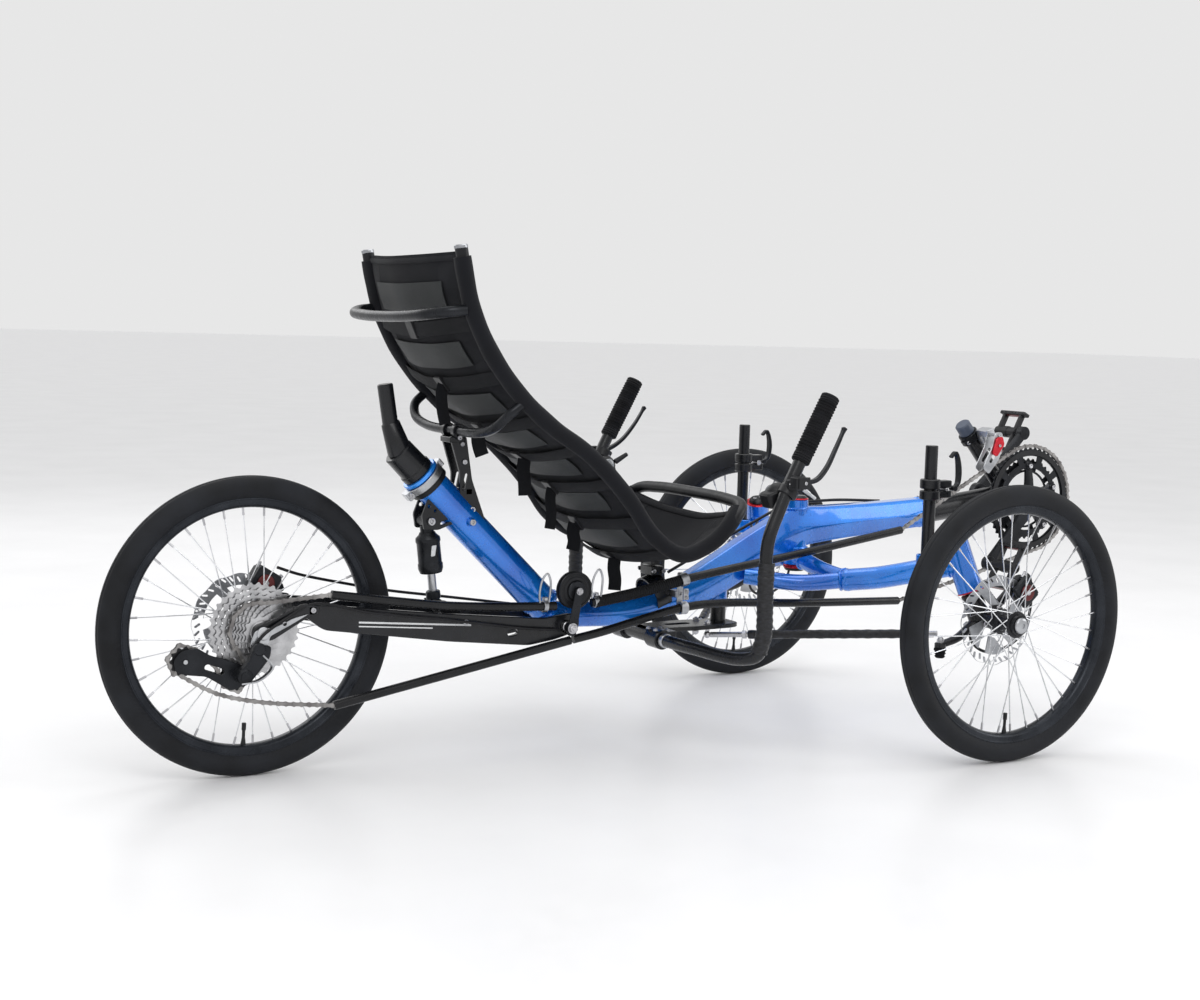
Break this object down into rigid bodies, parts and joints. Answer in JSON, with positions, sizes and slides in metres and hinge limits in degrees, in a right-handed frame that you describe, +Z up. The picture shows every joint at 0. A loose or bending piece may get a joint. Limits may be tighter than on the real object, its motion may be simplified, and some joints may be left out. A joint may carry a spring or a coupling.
{
  "type": "recumbent adult tricycle",
  "caption": "Recumbent adult tricycle with a reclined mesh seat, steered front wheels, under-seat handlebar and a sprung chain-driven rear wheel.",
  "frame": {"origin": "on the ground, below the middle of the whole tricycle", "axes": "+X forward, +Y to the rider's left, +Z up"},
  "size_m": [1.974, 0.894, 0.852],
  "materials": {
    "frame_blue": "gloss",
    "black_paint": "satin",
    "tyre_rubber": "matt",
    "rim_black": "satin",
    "hub_black": "satin",
    "alloy": "satin",
    "cassette_steel": "satin",
    "chain_steel": "satin",
    "seat_mesh": "matt",
    "grip_rubber": "matt",
    "cable_rubber": "matt",
    "guide_tube": "satin",
    "black_plastic": "satin",
    "black_alloy": "satin"
  },
  "bodies": {
    "frame": {"main_tube": "frame_blue", "seat_mast": "frame_blue", "mast_clamp": "alloy", "mast_extension": "black_paint", "axle_beam_left": "frame_blue", "axle_beam_right": "frame_blue", "boom": "black_paint", "front_derailleur": "alloy", "seat_frame": "black_paint", "seat_sling": "seat_mesh", "seat_push_bar": "black_paint", "seat_crossbar": "black_paint", "seat_mount_rear": "black_paint", "seat_mount_front": "black_paint", "chain_tube_upper_front": "guide_tube", "chain_tube_lower_front": "guide_tube", "chain_tube_clamp": "alloy", "chain_front": "chain_steel", "idler_bracket": "alloy", "accessory_post_left": "black_paint", "accessory_post_right": "black_paint", "cable_harness": "cable_rubber"},
    "steering": {"steering_stem": "black_paint", "handlebar": "black_paint", "grip_left": "grip_rubber", "grip_right": "grip_rubber", "control_left": "black_plastic", "control_right": "black_plastic"},
    "swingarm": {"swingarm": "black_paint", "chain_tube_upper_rear": "guide_tube", "chain_tube_lower_rear": "guide_tube", "chain_rear": "chain_steel", "rear_derailleur": "black_alloy", "caliper_rear": "black_alloy"},
    "rear_wheel": {"rear_tyre": "tyre_rubber", "rear_rim": "rim_black", "rear_hub": "hub_black"},
    "cassette": {"cassette": "cassette_steel"},
    "shock_can": {"shock_can": "black_alloy"},
    "shock_shaft": {"shock_shaft": "alloy"},
    "crankset": {"crankset": "black_alloy"},
    "idler": {"idler_pulley": "black_plastic"},
    "pedal_left": {"pedal_left": "black_plastic"},
    "pedal_right": {"pedal_right": "black_plastic"},
    "knuckle_left": {"knuckle_left": "black_paint", "caliper_left": "black_alloy"},
    "front_wheel_left": {"front_tyre_left": "tyre_rubber", "front_rim_left": "rim_black", "front_hub_left": "hub_black"},
    "tie_rod_left": {"tie_rod_left": "black_paint"},
    "brake_lever_left": {"brake_lever_left": "black_alloy"},
    "post_lever_left": {"post_lever_left": "black_alloy"},
    "knuckle_right": {"knuckle_right": "black_paint", "caliper_right": "black_alloy"},
    "front_wheel_right": {"front_tyre_right": "tyre_rubber", "front_rim_right": "rim_black", "front_hub_right": "hub_black"},
    "tie_rod_right": {"tie_rod_right": "black_paint"},
    "brake_lever_right": {"brake_lever_right": "black_alloy"},
    "post_lever_right": {"post_lever_right": "black_alloy"}
  },
  "joints": [
    {"name": "handlebar_turn", "type": "hinge", "parent": "frame", "child": "steering", "pos_m": [0.149, 0, 0.19], "axis": [0, 0, 1], "range_deg": [-28, 28]},
    {"name": "kingpin_left", "type": "hinge", "parent": "frame", "child": "knuckle_left", "pos_m": [0.462, 0.33, 0.284], "axis": [-0.2201, -0.268, 0.9379], "range_deg": [-18.5, 18.5]},
    {"name": "tie_rod_ball_left", "type": "hinge", "parent": "steering", "child": "tie_rod_left", "pos_m": [0.114, 0.02, 0.178], "axis": [0, 0, 1], "range_deg": [-30.5, 30.5]},
    {"name": "front_wheel_spin_left", "type": "hinge", "parent": "knuckle_left", "child": "front_wheel_left", "pos_m": [0.479, 0.42, 0.241], "axis": [0, 1, 0], "continuous": true},
    {"name": "brake_pull_left", "type": "hinge", "parent": "steering", "child": "brake_lever_left", "pos_m": [0.075, 0.346, 0.486], "axis": [0, -1, 0], "range_deg": [0, 12], "stiffness_Nm_per_rad": 1.2, "springref_deg": -14.32},
    {"name": "post_lever_open_left", "type": "hinge", "parent": "frame", "child": "post_lever_left", "pos_m": [0.442, 0.29, 0.468], "axis": [0, 1, 0], "range_deg": [0, 60]},
    {"name": "pedal_spin_left", "type": "hinge", "parent": "crankset", "child": "pedal_left", "pos_m": [0.95721, 0.138, 0.53421], "axis": [0, 1, 0], "continuous": true},
    {"name": "kingpin_right", "type": "hinge", "parent": "frame", "child": "knuckle_right", "pos_m": [0.462, -0.33, 0.284], "axis": [-0.2201, 0.268, 0.9379], "range_deg": [-18.5, 18.5]},
    {"name": "tie_rod_ball_right", "type": "hinge", "parent": "steering", "child": "tie_rod_right", "pos_m": [0.114, -0.02, 0.178], "axis": [0, 0, 1], "range_deg": [-30.5, 30.5]},
    {"name": "front_wheel_spin_right", "type": "hinge", "parent": "knuckle_right", "child": "front_wheel_right", "pos_m": [0.479, -0.42, 0.241], "axis": [0, 1, 0], "continuous": true},
    {"name": "brake_pull_right", "type": "hinge", "parent": "steering", "child": "brake_lever_right", "pos_m": [0.075, -0.346, 0.486], "axis": [0, -1, 0], "range_deg": [0, 12], "stiffness_Nm_per_rad": 1.2, "springref_deg": -14.32},
    {"name": "post_lever_open_right", "type": "hinge", "parent": "frame", "child": "post_lever_right", "pos_m": [0.442, -0.29, 0.468], "axis": [0, 1, 0], "range_deg": [0, 60]},
    {"name": "pedal_spin_right", "type": "hinge", "parent": "crankset", "child": "pedal_right", "pos_m": [0.71679, -0.138, 0.29379], "axis": [0, 1, 0], "continuous": true},
    {"name": "suspension", "type": "hinge", "parent": "frame", "child": "swingarm", "pos_m": [-0.201, 0, 0.218], "axis": [0, 1, 0], "range_deg": [0, 6.5], "stiffness_Nm_per_rad": 2400, "springref_deg": -2.29},
    {"name": "rear_wheel_spin", "type": "hinge", "parent": "swingarm", "child": "rear_wheel", "pos_m": [-0.746, 0, 0.241], "axis": [0, 1, 0], "continuous": true},
    {"name": "crank_spin", "type": "hinge", "parent": "frame", "child": "crankset", "pos_m": [0.837, 0, 0.414], "axis": [0, 1, 0], "continuous": true},
    {"name": "cassette_spin", "type": "hinge", "parent": "swingarm", "child": "cassette", "pos_m": [-0.746, 0, 0.241], "axis": [0, 1, 0], "continuous": true},
    {"name": "idler_spin", "type": "hinge", "parent": "frame", "child": "idler", "pos_m": [-0.189, -0.062, 0.281], "axis": [0, 1, 0], "continuous": true},
    {"name": "shock_can_swing", "type": "hinge", "parent": "frame", "child": "shock_can", "pos_m": [-0.441, 0, 0.402], "axis": [0, 1, 0], "range_deg": [-4, 0]},
    {"name": "shock_shaft_swing", "type": "hinge", "parent": "swingarm", "child": "shock_shaft", "pos_m": [-0.423, 0, 0.26], "axis": [0, 1, 0], "range_deg": [-10.5, 0]}
  ],
  "couplings": [
    {"joint": "kingpin_left", "follows": "handlebar_turn", "ratio": 0.65},
    {"joint": "tie_rod_ball_left", "follows": "handlebar_turn", "ratio": -1.07},
    {"joint": "kingpin_right", "follows": "handlebar_turn", "ratio": 0.65},
    {"joint": "tie_rod_ball_right", "follows": "handlebar_turn", "ratio": -1.07},
    {"joint": "cassette_spin", "follows": "crank_spin", "ratio": 2.3636},
    {"joint": "idler_spin", "follows": "crank_spin", "ratio": -4.2},
    {"joint": "shock_can_swing", "follows": "suspension", "ratio": -0.586},
    {"joint": "shock_shaft_swing", "follows": "suspension", "ratio": -1.586}
  ]
}
